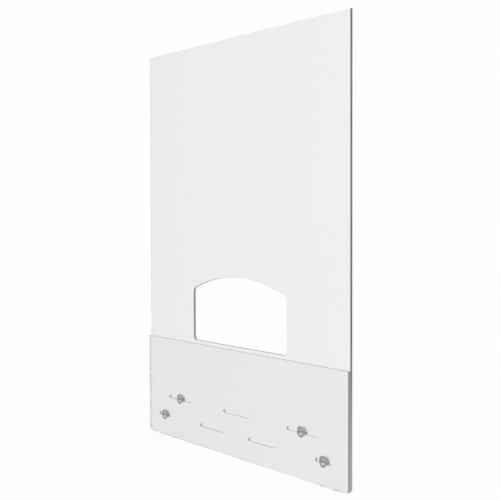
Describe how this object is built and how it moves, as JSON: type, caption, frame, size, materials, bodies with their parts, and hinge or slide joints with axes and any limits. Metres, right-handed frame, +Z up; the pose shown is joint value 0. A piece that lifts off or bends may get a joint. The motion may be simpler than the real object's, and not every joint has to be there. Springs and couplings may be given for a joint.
{
  "type": "desk privacy panel",
  "caption": "Tall clear acrylic privacy screen with an arched pass-through and a clear slotted front plate clamped over its foot.",
  "frame": {"origin": "middle of the screen's bottom edge, halfway through the screen's thickness", "axes": "+X along the width, +Y through the thickness towards the rear, away from the front plate, +Z up"},
  "size_m": [0.8128, 0.0256, 0.9906],
  "materials": {
    "clear_acrylic": "clear cast sheet with polished edges",
    "zinc_plated_steel": "bright zinc plate",
    "washer_steel": "stamped stainless",
    "clear_nylon": "natural translucent"
  },
  "bodies": {
    "screen": {"main_panel": "clear_acrylic"},
    "front_plate": {"front_plate": "clear_acrylic"},
    "upper_left_bolt": {"upper_left_screw": "zinc_plated_steel", "upper_left_front_washer": "washer_steel", "upper_left_front_pad": "clear_nylon"},
    "upper_left_rear_pad": {"upper_left_rear_pad": "clear_nylon"},
    "upper_left_nut": {"upper_left_nut": "zinc_plated_steel"},
    "upper_right_bolt": {"upper_right_screw": "zinc_plated_steel", "upper_right_front_washer": "washer_steel", "upper_right_front_pad": "clear_nylon"},
    "upper_right_rear_pad": {"upper_right_rear_pad": "clear_nylon"},
    "upper_right_nut": {"upper_right_nut": "zinc_plated_steel"},
    "lower_left_bolt": {"lower_left_screw": "zinc_plated_steel", "lower_left_front_washer": "washer_steel", "lower_left_front_pad": "clear_nylon"},
    "lower_left_rear_pad": {"lower_left_rear_pad": "clear_nylon"},
    "lower_left_nut": {"lower_left_nut": "zinc_plated_steel"},
    "lower_right_bolt": {"lower_right_screw": "zinc_plated_steel", "lower_right_front_washer": "washer_steel", "lower_right_front_pad": "clear_nylon"},
    "lower_right_rear_pad": {"lower_right_rear_pad": "clear_nylon"},
    "lower_right_nut": {"lower_right_nut": "zinc_plated_steel"}
  },
  "joints": [
    {"name": "plate_slide", "type": "slide", "parent": "screen", "child": "front_plate", "axis": [1, 0, 0], "range_m": [-0.025, 0.025]},
    {"name": "upper_left_screw_turn", "type": "hinge", "parent": "screen", "child": "upper_left_bolt", "pos_m": [-0.2508, -0.0086, 0.1048], "axis": [0, 1, 0], "continuous": true},
    {"name": "upper_left_back_off", "type": "slide", "parent": "upper_left_bolt", "child": "upper_left_rear_pad", "axis": [0, 1, 0], "range_m": [0, 0.00254]},
    {"name": "upper_left_nut_turn", "type": "hinge", "parent": "upper_left_rear_pad", "child": "upper_left_nut", "pos_m": [-0.2508, 0.0038, 0.1048], "axis": [0, 1, 0], "range_deg": [0, 720]},
    {"name": "upper_right_screw_turn", "type": "hinge", "parent": "screen", "child": "upper_right_bolt", "pos_m": [0.2508, -0.0086, 0.1048], "axis": [0, 1, 0], "continuous": true},
    {"name": "upper_right_back_off", "type": "slide", "parent": "upper_right_bolt", "child": "upper_right_rear_pad", "axis": [0, 1, 0], "range_m": [0, 0.00254]},
    {"name": "upper_right_nut_turn", "type": "hinge", "parent": "upper_right_rear_pad", "child": "upper_right_nut", "pos_m": [0.2508, 0.0038, 0.1048], "axis": [0, 1, 0], "range_deg": [0, 720]},
    {"name": "lower_left_screw_turn", "type": "hinge", "parent": "screen", "child": "lower_left_bolt", "pos_m": [-0.327, -0.0086, 0.054], "axis": [0, 1, 0], "continuous": true},
    {"name": "lower_left_back_off", "type": "slide", "parent": "lower_left_bolt", "child": "lower_left_rear_pad", "axis": [0, 1, 0], "range_m": [0, 0.00254]},
    {"name": "lower_left_nut_turn", "type": "hinge", "parent": "lower_left_rear_pad", "child": "lower_left_nut", "pos_m": [-0.327, 0.0038, 0.054], "axis": [0, 1, 0], "range_deg": [0, 720]},
    {"name": "lower_right_screw_turn", "type": "hinge", "parent": "screen", "child": "lower_right_bolt", "pos_m": [0.327, -0.0086, 0.054], "axis": [0, 1, 0], "continuous": true},
    {"name": "lower_right_back_off", "type": "slide", "parent": "lower_right_bolt", "child": "lower_right_rear_pad", "axis": [0, 1, 0], "range_m": [0, 0.00254]},
    {"name": "lower_right_nut_turn", "type": "hinge", "parent": "lower_right_rear_pad", "child": "lower_right_nut", "pos_m": [0.327, 0.0038, 0.054], "axis": [0, 1, 0], "range_deg": [0, 720]}
  ],
  "couplings": [
    {"joint": "upper_left_nut_turn", "follows": "upper_left_back_off", "rad_per_m": 4947.4},
    {"joint": "upper_right_nut_turn", "follows": "upper_right_back_off", "rad_per_m": 4947.4},
    {"joint": "lower_left_nut_turn", "follows": "lower_left_back_off", "rad_per_m": 4947.4},
    {"joint": "lower_right_nut_turn", "follows": "lower_right_back_off", "rad_per_m": 4947.4}
  ]
}
